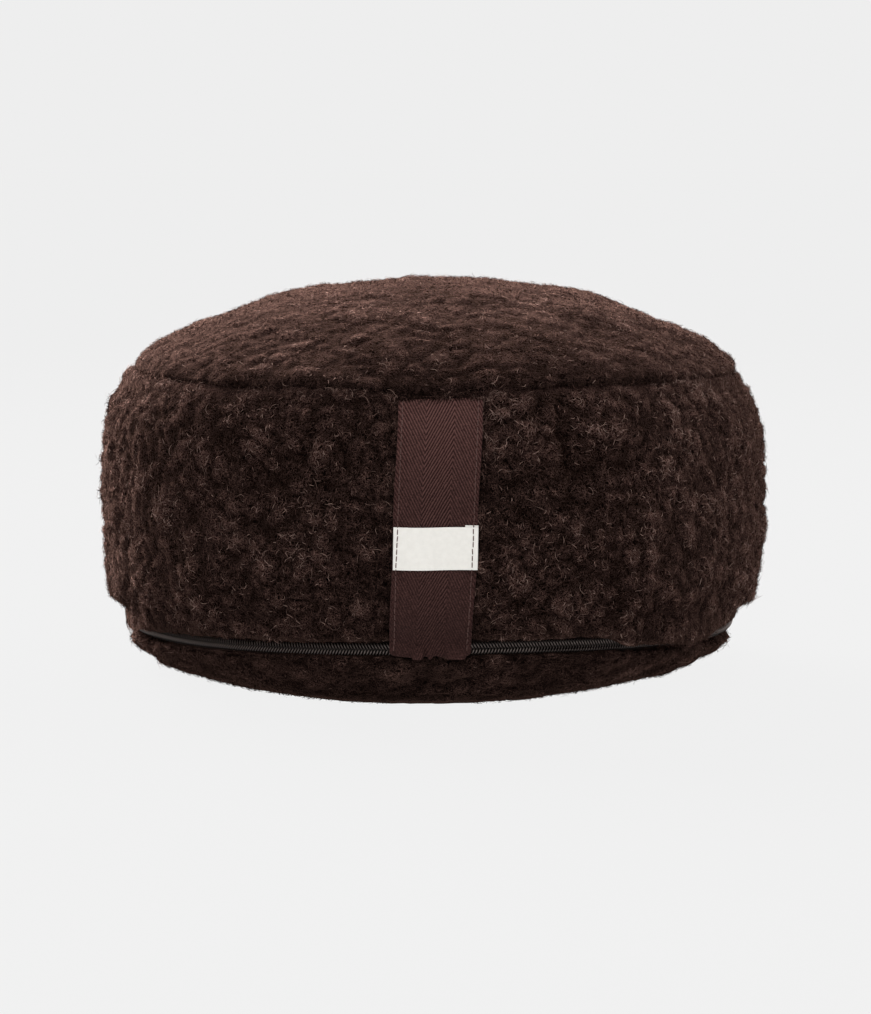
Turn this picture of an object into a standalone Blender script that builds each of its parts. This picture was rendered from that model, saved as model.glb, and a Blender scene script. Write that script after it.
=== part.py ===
"""Round meditation cushion in pile cloth, with a strap, a blank label and a zip.

The script works in millimetres and degrees, and writes its meshes in metres, +Z up.
The origin is on the floor under the middle of the cushion, and the strap faces -Y.
The cushion is one filled solid: a domed top panel, a bulging side band and a rounded
bottom panel, drawn in where they are sewn together. The strap lies in the trough that
it presses into the pile, and its lower end covers the zip in the lower seam.
"""

import math
from collections import namedtuple

import bmesh
import bpy

MM = 0.001
DEGREE = math.pi / 180

# Cushion. Radii reach to the outside of the pile.
CROWN_TOP = 192.0  # top of the domed top panel
CROWN_SLOPE = 1.64  # 1 is half an ellipse, and more slopes off sooner
TOP_SEAM_HEIGHT = 147.0
TOP_SEAM_RADIUS = 146.0
BAND_RADIUS = 164.4  # the side band's widest place
BAND_TOP_RADIUS = 150.5
BAND_FOOT_RADIUS = 155.0
BAND_SQUARENESS = 3.8  # how far the band stays full towards its seams
BAND_ROUNDING = 0.62  # how softly it turns in to them
ZIP_SEAM_HEIGHT = 21.0
ZIP_SEAM_RADIUS = 145.4  # the floor of the gap that the zip lies in
ZIP_OPENING = 8.2  # height of that gap
RIM_RADIUS = 149.8  # the bottom panel's widest place, below the zip
FOOT_RADIUS = 116.0  # the flat that rests on the floor
FOOT_ROUNDNESS = 1.45  # 1 is a straight slope up to the rim, and 2 is an ellipse

# Strap of herringbone tape, and the label sewn across it.
STRAP_WIDTH = 38.0
STRAP_THICKNESS = 1.6
STRAP_TOP_X = 4.1  # the strap leans, so its two ends are at different places
STRAP_FOOT_X = -1.2
TROUGH_DEPTH = 4.6  # how far the strap sinks into the pile
TROUGH_MARGIN = 0.8  # between the strap's edge and the trough's wall
TROUGH_WALL = 4.0  # how wide that wall slopes
LABEL_WIDTH = 37.6
LABEL_HEIGHT = 19.2
LABEL_MIDDLE = 77.0
LABEL_THICKNESS = 1.0
LABEL_STEPS = 4

# Coil zip of the 6 mm size.
ZIP_TAPE_THICKNESS = 1.0
ZIP_CHAIN_WIDTH = 6.0
ZIP_CHAIN_THICKNESS = 2.2
ZIP_REACH = 104.0  # degrees that the zip runs to each side of the strap
ZIP_STEP = 4.0  # degrees between its facets

GAP = 0.4  # between pieces that touch
FACET_GAP = 0.6  # between pieces whose facets don't lie side by side
COLUMNS_AROUND = 70  # facets round the cushion, outside the strap's trough
CROWN_STEPS = 11
BAND_STEPS = 13
FOOT_STEPS = 6
SHARP_ANGLE = 50.0

# A ring is one level of the cushion. Trough is how much of the strap's trough it has, from 0 to 1.
Ring = namedtuple("Ring", "radius height trough")
Corner = namedtuple("Corner", "out up trough")  # a ring, measured from its seam
Wave = namedtuple("Wave", "turns phase amount")
Tuck = namedtuple("Tuck", "angle width depth")

# The crease that the top seam draws in, from the top panel's lip to the band's shoulder.
TOP_SEAM = (
    Corner(2.2, 3.0, 0),
    Corner(-2.2, 0.4, 0),
    Corner(-2.4, -1.2, 0),
)
# The gap that the zip lies in, from the band's lower lip to the bottom panel's upper lip.
ZIP_SEAM = (
    Corner(2.6, ZIP_OPENING / 2, 0.4),
    Corner(0.0, ZIP_OPENING / 2 - 0.1, 0),
    Corner(0.0, 0.1 - ZIP_OPENING / 2, 0),
    Corner(3.2, -ZIP_OPENING / 2, 0),
)
# Slow swells that keep the cushion from being perfectly round.
SWELLS = (
    Wave(2, 0.6, 0.7),
    Wave(3, 2.1, 0.8),
    Wave(5, 4.0, 0.5),
    Wave(9, 1.3, 0.4),
)
# Gathers where the bottom panel is eased on to the zip.
TUCKS = (
    Tuck(-150, 9, 1.8),
    Tuck(-118, 8, 2.4),
    Tuck(-74, 7, 2.6),
    Tuck(-52, 6, 2.2),
    Tuck(-31, 8, 1.6),
    Tuck(24, 7, 1.4),
    Tuck(47, 6, 2.4),
    Tuck(66, 8, 3.0),
    Tuck(96, 7, 2.0),
    Tuck(128, 9, 2.2),
    Tuck(163, 8, 1.8),
)


def between(value, low, high):
    """How far value is from low to high, from 0 to 1, as an S."""
    share = min(1.0, max(0.0, (value - low) / (high - low)))
    return share * share * (3 - 2 * share)


def hump(angle, middle, width):
    """1 at the middle angle, falling to 0 one width away."""
    away = abs((angle - middle + 180) % 360 - 180)
    return 1 - between(away, 0, width)


def lean(height):
    """The sideways shift of the cushion's middle: the top panel sits to the right, the foot to the left."""
    top_shift, foot_shift = 2.2, -1.8
    return top_shift * between(height, 138, 152) + foot_shift * (1 - between(height, 2, 30))


def swell(angle, height):
    """Uneven fullness of the filling, which dies away on the flat foot and is less on the crown."""
    total = sum(w.amount * math.sin(w.turns * angle * DEGREE + w.phase + height / 60) for w in SWELLS)
    return total * between(height, 2, 24) * (1 - 0.6 * between(height, 149, 189))


def rise(angle, height):
    """How far the cloth sits above its level: the zip's seam climbs to the front, and the strap pulls
    the top seam down."""
    front = math.cos(angle * DEGREE)  # 1 at the strap, -1 at the back
    zip_rise = 6.3 * front + 2.3 * front * front + 0.5 * math.sin(4 * angle * DEGREE)
    top_rise = math.sin(3 * angle * DEGREE + 0.5) - 3.0 * hump(angle, 0, 26)
    near_zip = between(height, 0, 14) * (1 - between(height, 25, 66))
    near_top = between(height, 88, 140) * (1 - between(height, 155, 187))
    return zip_rise * near_zip + top_rise * near_top


def tuck_depth(angle, height):
    """Depth of the bottom panel's gathers, which run down from the zip and fade to the foot."""
    share = between(height, 1, 8) * (1 - between(height, 13, 16))
    return share * sum(t.depth * hump(angle, t.angle, t.width) for t in TUCKS)


def crown_rings():
    """The dome, from just outside its middle to its widest place above the top seam."""
    lip = TOP_SEAM_HEIGHT + 2.5
    widest = TOP_SEAM_RADIUS + 3.0
    rings = []
    for step in range(1, CROWN_STEPS + 1):
        turn = 90 * DEGREE * step / (CROWN_STEPS + 1)
        height = lip + (CROWN_TOP - lip) * math.cos(turn) ** CROWN_SLOPE
        rings.append(Ring(widest * math.sin(turn), height, 0))
    return rings


def seam_rings(corners, radius, height):
    """The rings of a seam, from its cross-section."""
    return [Ring(radius + c.out, height + c.up, c.trough) for c in corners]


def band_rings():
    """The side band, from its shoulder to its lower lip."""
    top = TOP_SEAM_HEIGHT - 2.6
    foot = ZIP_SEAM_HEIGHT + ZIP_OPENING / 2 + 1.0
    turn_in = 2.0  # how far the edges turn in past the band's own ends
    bulge = BAND_RADIUS - (BAND_TOP_RADIUS + BAND_FOOT_RADIUS) / 2
    rings = []
    for step in range(BAND_STEPS + 1):
        share = step / BAND_STEPS
        down = -math.cos(share * math.pi)  # -1 at the shoulder, 1 at the lower lip
        edge = BAND_TOP_RADIUS + (BAND_FOOT_RADIUS - BAND_TOP_RADIUS) * share - turn_in
        radius = edge + (bulge + turn_in) * (1 - abs(down) ** BAND_SQUARENESS) ** BAND_ROUNDING
        rings.append(Ring(radius, (top + foot) / 2 - down * (top - foot) / 2, 1))
    return rings


def foot_rings():
    """The bottom panel, from its rim below the zip to the edge of the flat foot."""
    rim = ZIP_SEAM_HEIGHT - ZIP_OPENING / 2 - 2.0
    power = 2 / FOOT_ROUNDNESS
    rings = []
    for step in range(FOOT_STEPS + 1):
        turn = 90 * DEGREE * step / FOOT_STEPS
        radius = FOOT_RADIUS + (RIM_RADIUS - FOOT_RADIUS) * math.cos(turn) ** power
        rings.append(Ring(radius, rim * (1 - math.sin(turn) ** power), 0))
    return rings


def strap_middle(height):
    """The strap's middle at this height, as x, because the strap leans."""
    share = (height - ZIP_SEAM_HEIGHT) / (TOP_SEAM_HEIGHT - ZIP_SEAM_HEIGHT)
    return STRAP_FOOT_X + (STRAP_TOP_X - STRAP_FOOT_X) * min(1.0, max(0.0, share))


def angle_at(across, ring):
    """The angle of a point on this ring, so far to the right of the strap's middle.

    Rings smaller than the top seam have no strap, and take that seam's angles.
    """
    radius = max(ring.radius, TOP_SEAM_RADIUS)
    return math.asin((strap_middle(ring.height) + across - lean(ring.height)) / radius) / DEGREE


def back_columns():
    """Places across the strap's back, which the trough's floor shares."""
    return [-12.0, -4.0, 4.0, 12.0]


def trough_columns():
    """Places across the trough: the pile beside it, its two walls, and its floor."""
    floor = STRAP_WIDTH / 2 + TROUGH_MARGIN
    return [-floor - TROUGH_WALL, -floor, *back_columns(), floor, floor + TROUGH_WALL]


def place(ring, angle, out=0.0):
    """The point at this angle of this ring, moved out by so much, in metres."""
    radius = ring.radius + out + swell(angle, ring.height) - tuck_depth(angle, ring.height)
    height = ring.height + rise(angle, ring.height)
    x = lean(ring.height) + radius * math.sin(angle * DEGREE)
    y = -radius * math.cos(angle * DEGREE)
    return (x * MM, y * MM, height * MM)


def cushion_row(ring):
    """The points of one ring, with the trough pressed in where the ring has it."""
    columns = trough_columns()
    row = []
    for across in columns:
        on_floor = across not in (columns[0], columns[-1])
        row.append(place(ring, angle_at(across, ring), out=-TROUGH_DEPTH * ring.trough * on_floor))
    start = angle_at(columns[-1], ring)
    end = angle_at(columns[0], ring) + 360
    for step in range(1, COLUMNS_AROUND):
        row.append(place(ring, start + (end - start) * step / COLUMNS_AROUND))
    return row


def skin(mesh, rows, closed):
    """Faces between neighbouring rows of vertices, which are closed rings or open strips."""
    for upper, lower in zip(rows, rows[1:]):
        count = len(upper)
        for i in range(count if closed else count - 1):
            k = (i + 1) % count
            mesh.faces.new((upper[i], lower[i], lower[k], upper[k]))


def add_piece(name, mesh, material):
    """An object of this mesh, in its material and shaded smooth."""
    bmesh.ops.recalc_face_normals(mesh, faces=mesh.faces)
    data = bpy.data.meshes.new(name)
    mesh.to_mesh(data)
    mesh.free()
    data.materials.append(material)
    data.shade_smooth()
    data.set_sharp_from_angle(angle=SHARP_ANGLE * DEGREE)
    piece = bpy.data.objects.new(name, data)
    bpy.context.scene.collection.objects.link(piece)


def make_cushion(material):
    """The filled cushion, closed at the top by a fan and at the floor by one flat face."""
    rings = [
        *crown_rings(),
        *seam_rings(TOP_SEAM, TOP_SEAM_RADIUS, TOP_SEAM_HEIGHT),
        *band_rings(),
        *seam_rings(ZIP_SEAM, ZIP_SEAM_RADIUS, ZIP_SEAM_HEIGHT),
        *foot_rings(),
    ]
    mesh = bmesh.new()
    rows = [[mesh.verts.new(point) for point in cushion_row(ring)] for ring in rings]
    skin(mesh, rows, closed=True)
    top = mesh.verts.new((lean(CROWN_TOP) * MM, 0, CROWN_TOP * MM))
    first = rows[0]
    for i, vertex in enumerate(first):
        mesh.faces.new((top, vertex, first[(i + 1) % len(first)]))
    mesh.faces.new(rows[-1])
    add_piece("cushion", mesh, material)


def make_sheet(name, inner, outer, material):
    """A closed sheet between two equal grids of points, its back and its front."""
    mesh = bmesh.new()
    backs = [[mesh.verts.new(point) for point in row] for row in inner]
    fronts = [[mesh.verts.new(point) for point in row] for row in outer]
    skin(mesh, backs, closed=False)
    skin(mesh, fronts, closed=False)
    for end in (0, -1):
        skin(mesh, [backs[end], fronts[end]], closed=False)
        skin(mesh, [[row[end] for row in backs], [row[end] for row in fronts]], closed=False)
    add_piece(name, mesh, material)


def strap_rings():
    """The strap's back: its tuck in the top seam, the trough's floor, and the stretch over the zip."""
    tuck = Ring(TOP_SEAM_RADIUS - 0.6, TOP_SEAM_HEIGHT - 2.0, 1)
    down = [Ring(r.radius - TROUGH_DEPTH + GAP, r.height, 1) for r in band_rings()[1:-2]]
    over_zip = ZIP_SEAM_RADIUS + FACET_GAP + ZIP_TAPE_THICKNESS + GAP + ZIP_CHAIN_THICKNESS + FACET_GAP
    half = ZIP_OPENING / 2
    ends = [Ring(over_zip, ZIP_SEAM_HEIGHT + up, 1) for up in (half - 0.4, 0, 0.6 - half)]
    return [tuck, *down, *ends]


def sheet_on_strap(name, rings, width, lift, thickness, material):
    """A sheet along these rings of the strap's back, lifted off it by so much."""
    columns = [-width / 2, *back_columns(), width / 2]
    grids = []
    for out in (lift, lift + thickness):
        grids.append([[place(ring, angle_at(across, ring), out) for across in columns] for ring in rings])
    make_sheet(name, *grids, material)


def strap_ring_at(height):
    """The ring of the strap's back at this height, between two of its own."""
    rings = strap_rings()
    above = min((r for r in rings if r.height >= height), key=lambda r: r.height)
    below = max((r for r in rings if r.height < height), key=lambda r: r.height)
    share = (height - below.height) / (above.height - below.height)
    return Ring(below.radius + (above.radius - below.radius) * share, height, 1)


def make_label(material):
    """The blank label, which lies across the strap."""
    foot = LABEL_MIDDLE - LABEL_HEIGHT / 2
    rings = [strap_ring_at(foot + LABEL_HEIGHT * step / LABEL_STEPS) for step in range(LABEL_STEPS, -1, -1)]
    lift = STRAP_THICKNESS + GAP
    sheet_on_strap("label", rings, LABEL_WIDTH, lift, LABEL_THICKNESS, material)


def make_zip_strip(name, edges, lift, thickness, material):
    """One strip of the zip, between two edges above or below the seam's middle, lifted off its floor."""
    steps = int(2 * ZIP_REACH / ZIP_STEP)
    angles = [-ZIP_REACH + ZIP_STEP * i for i in range(steps + 1)]
    rings = [Ring(ZIP_SEAM_RADIUS, ZIP_SEAM_HEIGHT + edge, 0) for edge in edges]
    grids = []
    for out in (lift, lift + thickness):
        grids.append([[place(ring, angle, out) for angle in angles] for ring in rings])
    make_sheet(name, *grids, material)


def make_zip(tape_cloth, nylon):
    """Two tapes edge to edge in the gap, and on each a row of coil, closed against the other."""
    tape_edge = ZIP_OPENING / 2 - GAP
    chain_edge = ZIP_CHAIN_WIDTH / 2
    chain_lift = FACET_GAP + ZIP_TAPE_THICKNESS + GAP
    for side, sign in (("upper", 1), ("lower", -1)):
        tape = (sign * tape_edge, sign * GAP / 2)
        coil = (sign * chain_edge, sign * GAP / 2)
        make_zip_strip(f"zip_tape_{side}", tape, FACET_GAP, ZIP_TAPE_THICKNESS, tape_cloth)
        make_zip_strip(f"zip_coil_{side}", coil, chain_lift, ZIP_CHAIN_THICKNESS, nylon)


def finish(name, colour, roughness):
    """A plain material with no metal in it."""
    material = bpy.data.materials.new(name)
    material.use_nodes = True
    shader = material.node_tree.nodes["Principled BSDF"]
    shader.inputs["Base Color"].default_value = (*colour, 1)
    shader.inputs["Roughness"].default_value = roughness
    shader.inputs["Metallic"].default_value = 0
    return material


def main():
    for old in list(bpy.data.objects):
        bpy.data.objects.remove(old)
    pile_cloth = finish("pile_cloth", (0.035, 0.021, 0.017), 0.95)
    herringbone_tape = finish("herringbone_tape", (0.052, 0.026, 0.023), 0.8)
    label_cotton = finish("label_cotton", (0.82, 0.79, 0.72), 0.85)
    zip_tape_cloth = finish("zip_tape_cloth", (0.03, 0.019, 0.016), 0.85)
    zip_nylon = finish("zip_nylon", (0.07, 0.055, 0.05), 0.45)
    make_cushion(pile_cloth)
    sheet_on_strap("strap", strap_rings(), STRAP_WIDTH, 0, STRAP_THICKNESS, herringbone_tape)
    make_label(label_cotton)
    make_zip(zip_tape_cloth, zip_nylon)


main()
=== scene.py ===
"""The looks of a round meditation cushion in curly pile cloth. Metres, +Z up, and the strap faces -Y."""

import math

import bpy
import numpy as np
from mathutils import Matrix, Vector, kdtree, noise
from mathutils.bvhtree import BVHTree


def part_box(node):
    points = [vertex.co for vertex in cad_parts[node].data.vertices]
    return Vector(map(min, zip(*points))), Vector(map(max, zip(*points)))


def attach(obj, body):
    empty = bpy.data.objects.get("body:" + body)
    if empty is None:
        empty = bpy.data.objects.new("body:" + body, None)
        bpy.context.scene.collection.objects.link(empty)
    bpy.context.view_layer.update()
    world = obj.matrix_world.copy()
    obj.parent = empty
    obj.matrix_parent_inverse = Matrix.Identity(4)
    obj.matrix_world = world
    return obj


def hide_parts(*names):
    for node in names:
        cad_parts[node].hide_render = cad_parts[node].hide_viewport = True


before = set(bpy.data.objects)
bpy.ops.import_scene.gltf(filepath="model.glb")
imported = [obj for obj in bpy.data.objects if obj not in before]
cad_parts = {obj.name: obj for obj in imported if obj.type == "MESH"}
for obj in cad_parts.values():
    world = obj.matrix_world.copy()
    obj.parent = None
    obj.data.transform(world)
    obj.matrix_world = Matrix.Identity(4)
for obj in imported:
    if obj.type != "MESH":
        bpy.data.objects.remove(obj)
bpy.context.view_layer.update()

# ---- Camera ------------------------------------------------------------------------------------
# A long lens 1.6 m in front of the cushion and a little above its top. It looks slightly down, so the
# top panel shows as a low dome.
CAMERA_PLACE = (0.002, -1.6, 0.254)
CAMERA_PITCH = math.radians(6.277)
LENS_MM = 115
FILM_MM = 36


def add_object(name, data):
    """A new object in the scene."""
    new_object = bpy.data.objects.new(name, data)
    bpy.context.scene.collection.objects.link(new_object)
    return new_object


camera_data = bpy.data.cameras.new("camera")
camera_data.lens = LENS_MM
camera_data.sensor_width = FILM_MM
camera = add_object("camera", camera_data)
camera.location = CAMERA_PLACE
camera.rotation_euler = (math.pi / 2 - CAMERA_PITCH, 0, 0)
bpy.context.scene.camera = camera

# ---- Studio ------------------------------------------------------------------------------------
# A pale floor without an edge, lit through from below and glowing a little more round the cushion as a
# painted pool of light, in a room with pale walls and a dim ceiling.
# Broad lamps hang behind the cushion and at its sides, and one in front of it lights the strap.
WALL_TONE = 0.855
CEILING_TONE = 0.12
WALL_TOP = math.sin(math.radians(5))  # where the wall begins to darken
CEILING_EDGE = math.sin(math.radians(32))
FLOOR_WHITE = 0.004  # share of the light from above that the floor throws back
NEAR_GLOW = 1.028  # painted pool of light: how much more the floor glows round the cushion
NEAR_REACH = (0.4, 3.0)
FLOOR_RADIUS = 40.0
FLOOR_SIDES = 96
LAMPS = {
    # name: azimuth from the front towards +X, elevation and spread in degrees, and strength
    "left_lamp": (-148, 25, 35, 23.0),
    "back_lamp": (-170, 15, 35, 12.0),
    "far_right_lamp": (165, 40, 35, 2.5),
    "right_lamp": (120, 35, 35, 3.6),
    "front_lamp": (-5, 55, 45, 2.3),
}

bpy.context.scene.view_settings.view_transform = "Standard"


def set_inputs(node, values):
    """Sets a node's inputs to constants."""
    for name, value in values.items():
        node.inputs[name].default_value = value


def soft_range(tree, value, low, high, at_low, at_high):
    """An S between two numbers, while a value goes from low to high."""
    node = tree.nodes.new("ShaderNodeMapRange")
    node.interpolation_type = "SMOOTHSTEP"
    set_inputs(node, {"From Min": low, "From Max": high, "To Min": at_low, "To Max": at_high})
    tree.links.new(value, node.inputs["Value"])
    return node.outputs["Result"]


def smooth_step(low, high, value):
    """0 up to low, 1 from high on, and an S between them."""
    share = np.clip((value - low) / (high - low), 0, 1)
    return share * share * (3 - 2 * share)


def new_finish(name):
    """A material, its nodes and links, and its shader."""
    material = bpy.data.materials.new(name)
    material.use_nodes = True
    return material, material.node_tree, material.node_tree.nodes["Principled BSDF"]


world = bpy.data.worlds.new("room")
world.use_nodes = True
tree = world.node_tree
direction = tree.nodes.new("ShaderNodeTexCoord")
parts = tree.nodes.new("ShaderNodeSeparateXYZ")
tree.links.new(direction.outputs["Generated"], parts.inputs["Vector"])
room_light = soft_range(tree, parts.outputs["Z"], WALL_TOP, CEILING_EDGE, WALL_TONE, CEILING_TONE)
tree.links.new(room_light, tree.nodes["Background"].inputs["Color"])
bpy.context.scene.world = world

# The floor's own glow makes it as light as the walls, with what it throws back of this light.
heights = np.linspace(0, 1, 400)
room_tones = WALL_TONE + (CEILING_TONE - WALL_TONE) * smooth_step(WALL_TOP, CEILING_EDGE, heights)
light_on_floor = float(np.mean(room_tones * 2 * heights))
for lamp_name, (azimuth, elevation, spread, strength) in LAMPS.items():
    lamp_data = bpy.data.lights.new(lamp_name, "SUN")
    lamp_data.angle = math.radians(spread)
    lamp_data.energy = strength
    lamp = add_object(lamp_name, lamp_data)
    lamp.rotation_euler = (math.radians(90 - elevation), 0, math.radians(azimuth))
    light_on_floor += strength * math.sin(math.radians(elevation)) / math.pi

floor_finish, tree, shader = new_finish("pale_floor")
place = tree.nodes.new("ShaderNodeTexCoord")
distance = tree.nodes.new("ShaderNodeVectorMath")
distance.operation = "LENGTH"
tree.links.new(place.outputs["Object"], distance.inputs[0])
# Painted pool of light: the floor's glow is a little stronger round the cushion.
glow = soft_range(tree, distance.outputs["Value"], *NEAR_REACH, NEAR_GLOW, 1.0)
tree.links.new(glow, shader.inputs["Emission Color"])
floor_glow = WALL_TONE - FLOOR_WHITE * light_on_floor
set_inputs(shader, {"Roughness": 1.0, "Specular IOR Level": 0.0, "Emission Strength": floor_glow})
set_inputs(shader, {"Base Color": (FLOOR_WHITE, FLOOR_WHITE, FLOOR_WHITE, 1)})
turns = [2 * math.pi * side / FLOOR_SIDES for side in range(FLOOR_SIDES)]
floor_rim = [(FLOOR_RADIUS * math.cos(turn), FLOOR_RADIUS * math.sin(turn), 0) for turn in turns]
floor_mesh = bpy.data.meshes.new("floor")
floor_mesh.from_pydata(floor_rim, [], [list(range(FLOOR_SIDES))])
floor_mesh.materials.append(floor_finish)
add_object("floor", floor_mesh)

# ---- Filling -----------------------------------------------------------------------------------
# Grain hulls fill the cover until each panel swells between its seams. The cloth is held along both
# seams and flat on the floor. This shape tells how far each panel swells, and is then taken away.
MM = 0.001
TOP_SEAM_HEIGHT = 147 * MM
TOP_SEAM_WAVER = 1.0 * MM
STRAP_PULL = 3.0 * MM  # how far the strap pulls the top seam down
STRAP_PULL_REACH = math.radians(26)  # and how far to each side of it
ZIP_SEAM_HEIGHT = 21 * MM
ZIP_CLIMB = 6.3 * MM  # how far the zip's seam climbs from the cushion's sides to its front
ZIP_ARCH = 2.3 * MM  # and how much further, at its front and its back
ZIP_WAVER = 0.5 * MM
# Where else the zip's seam climbs or drops: from and to which angle, and how far. Angles are in degrees
# from the strap, and below 0 on its left.
ZIP_STEPS = (
    (30, 70, 2.0 * MM),
    (-45, -80, 1.5 * MM),
    (66, 90, 2.5 * MM),
    (98, 130, -2.5 * MM),
    (-66, -90, 2.5 * MM),
    (-98, -130, -2.5 * MM),
)
SEAM_RADIUS = 145 * MM
CLOTH_DEPTH = 4.5 * MM  # from the outside of the pile to the cloth
CLOTH_SQUARE = 5 * MM
FILLING_PRESSURE = 4.0
SWELL_LIMIT = 2.5 * MM
SETTLING_FRAMES = 20
UP = np.array([0, 0, 1.0])


def top_seam(angle):
    """Height of the top seam at this angle from the strap: it wavers, and the strap pulls it down."""
    pull = 1 - smooth_step(0, STRAP_PULL_REACH, np.abs(angle))
    return TOP_SEAM_HEIGHT + TOP_SEAM_WAVER * np.sin(3 * angle + 0.5) - STRAP_PULL * pull


def stepped(angle, steps):
    """The sum, at this angle, of steps that each go from one angle to another by an amount."""
    degrees = np.degrees(angle)
    return sum(amount * smooth_step(start, end, degrees) for start, end, amount in steps)


def zip_rise(angle):
    """How far the zip's seam climbs towards the front."""
    climb = ZIP_CLIMB * np.cos(angle) + ZIP_ARCH * np.cos(angle) ** 2
    return climb + ZIP_WAVER * np.sin(4 * angle) + stepped(angle, ZIP_STEPS)


def zip_seam(angle):
    return ZIP_SEAM_HEIGHT + zip_rise(angle)


def points_of(mesh, what="co"):
    """A mesh's points, or its normals at them, as rows of three."""
    values = np.empty(len(mesh.vertices) * 3, np.float32)
    mesh.vertices.foreach_get(what, values)
    return values.reshape(-1, 3).astype(float)


def set_points(mesh, points):
    mesh.vertices.foreach_set("co", np.asarray(points, np.float32).ravel())
    mesh.update()


def apply_modifiers(piece):
    graph = bpy.context.evaluated_depsgraph_get()
    shaped = bpy.data.meshes.new_from_object(piece.evaluated_get(graph))
    piece.modifiers.clear()
    piece.data = shaped


def surface_of(mesh):
    return BVHTree.FromPolygons(points_of(mesh).tolist(), [list(face.vertices) for face in mesh.polygons])


cushion_shape = surface_of(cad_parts["cushion"].data)
filling = add_object("filling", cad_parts["cushion"].data.copy())
remesh = filling.modifiers.new("even squares", "REMESH")
remesh.mode = "VOXEL"
remesh.voxel_size = CLOTH_SQUARE
apply_modifiers(filling)
slack = points_of(filling.data) - CLOTH_DEPTH * points_of(filling.data, "normal")
set_points(filling.data, slack)
swelling = np.zeros_like(slack)
around = np.arctan2(slack[:, 0], -slack[:, 1])
off_seam = np.minimum(np.abs(slack[:, 2] - top_seam(around)), np.abs(slack[:, 2] - zip_seam(around)))
outside = np.hypot(slack[:, 0], slack[:, 1]) > SEAM_RADIUS - CLOTH_DEPTH - CLOTH_SQUARE
on_floor = slack[:, 2] < CLOTH_DEPTH + CLOTH_SQUARE / 2
sewn = filling.vertex_groups.new(name="sewn")
sewn.add(np.flatnonzero((off_seam < CLOTH_SQUARE) & outside | on_floor).tolist(), 1.0, "REPLACE")
cloth = filling.modifiers.new("cover", "CLOTH")
cloth.settings.vertex_group_mass = sewn.name
cloth.settings.use_pressure = True
cloth.settings.uniform_pressure_force = FILLING_PRESSURE
cloth.settings.effector_weights.gravity = 0
for step in range(1, SETTLING_FRAMES + 1):
    bpy.context.scene.frame_set(step)
apply_modifiers(filling)
bpy.context.scene.frame_set(1)
swelling = points_of(filling.data) - slack
far = np.linalg.norm(swelling, axis=1, keepdims=True)
swelling *= np.minimum(1, SWELL_LIMIT / np.maximum(far, 1e-9))
bpy.data.objects.remove(filling)

swell_places = kdtree.KDTree(len(slack))
for index, point in enumerate(slack):
    swell_places.insert(point, index)
swell_places.balance()


def swelled(points):
    """How far the filling pushes these points of the cloth, from the settled points nearest to each."""
    pushed = []
    for point in points:
        near = swell_places.find_n(point, 4)
        shares = np.array([1 / (distance + MM) for _, _, distance in near])
        pushed.append(shares @ swelling[[index for _, index, _ in near]] / shares.sum())
    return np.array(pushed)


def cast(shape, starts, directions):
    """Where rays from outside meet a shape, or else its nearest point to where each starts."""
    found = []
    for start, direction in zip(starts, directions):
        place, _, _, _ = shape.ray_cast(Vector(start), Vector(direction))
        found.append(shape.find_nearest(Vector(start))[0] if place is None else place)
    return np.array(found)


# ---- Top panel ---------------------------------------------------------------------------------
# A round panel of curly pile cloth, domed by the filling. Its edge is sewn to the side band, and its
# pile droops over the seam.
TOP_CELLS = 196
TOP_MIDDLE = (2.2 * MM, 0)
TOP_RADIUS = 149 * MM
TOP_RISE = 42.5 * MM
TOP_LIP = 2.5 * MM  # how far above its seam the panel is widest
TOP_SLOPE = 1.64
TOP_DROOP = 2.6 * MM
DROOP_REACH = 10 * MM
TOP_PILE = (12 * MM, 2.2 * MM, 30 * MM, 2.0 * MM)  # its tufts' size and height, and its swells'
# Its fullness also sets how much painted shade lies between its tufts.
TOP_FULLNESS = (0.03, 0.6)  # its pile lies flatter than the band's: the least, and the share of the rest
TOP_LEAN = 2.5  # how strongly its fibres fall over the seam
TOP_UNDERCOAT = 25500  # how many fibres
TOP_CURLS = 8500
SEAM_DEPTH = 0.7 * MM  # from the outside of the pile to the cloth, at a seam
TUFT_PROUD = 1.4 * MM  # how far a full tuft stands out past the cushion's own shape
TUFT_WARP = 0.6  # how crooked the gaps between tufts are, in tuft sizes
TUFT_EDGE = 3.2  # how steeply a tuft rises from its gap
SMALL_TUFTS = 0.5  # the size of the small tufts on the large ones, in tuft sizes
CLEFT_SPACING = 1.8  # how far apart the long clefts are, in tuft sizes
CLEFT_EDGE = 7.0
LARGE_HEIGHT = 0.75  # how much of the pile's height is in its large tufts, the rest in small ones
LARGE_FULLNESS = 0.6  # and how much of its fullness
CLEFT_HEIGHT = 0.6  # how high the pile is in a cleft, as a share
CLEFT_FULLNESS = 0.3
SEAM_HEIGHT = 0.25  # how high it is along a seam
SEAM_SQUEEZE = 8 * MM  # how far from a seam the pile is still pressed flat
SEAM_FILL = 3.6 * MM  # how far the pile fills the groove along the top seam
FILL_REACH = 5 * MM
FRINGE_REACH = 7 * MM  # how far from the seam the fibres stand closer
FRINGE_UNDERCOAT = 5  # and how many times as close
FRINGE_CURLS = 18
OPEN_PLACES = ((-38, 9), (24, 7), (38, 9), (110, 25), (-130, 20))  # angle and width, where it is open
REACH = 30 * MM  # how far outside the cushion the rays start
TUFT_SEED = 5

noise.seed_set(TUFT_SEED)  # puts the tufts at the same places in every run


def open_seam(angle):
    """1 where the top seam's groove shows as a dark line, and 0 where the pile fills it."""
    degrees = np.degrees(angle)
    return np.clip(sum(np.exp(-(((degrees - place) / width) ** 2)) for place, width in OPEN_PLACES), 0, 1)


def near(distance, reach):
    """1 at a seam, and 0 from this reach on."""
    return 1 - smooth_step(0, reach, distance)


def unit(vectors):
    return vectors / np.maximum(np.linalg.norm(vectors, axis=-1, keepdims=True), 1e-12)


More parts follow.
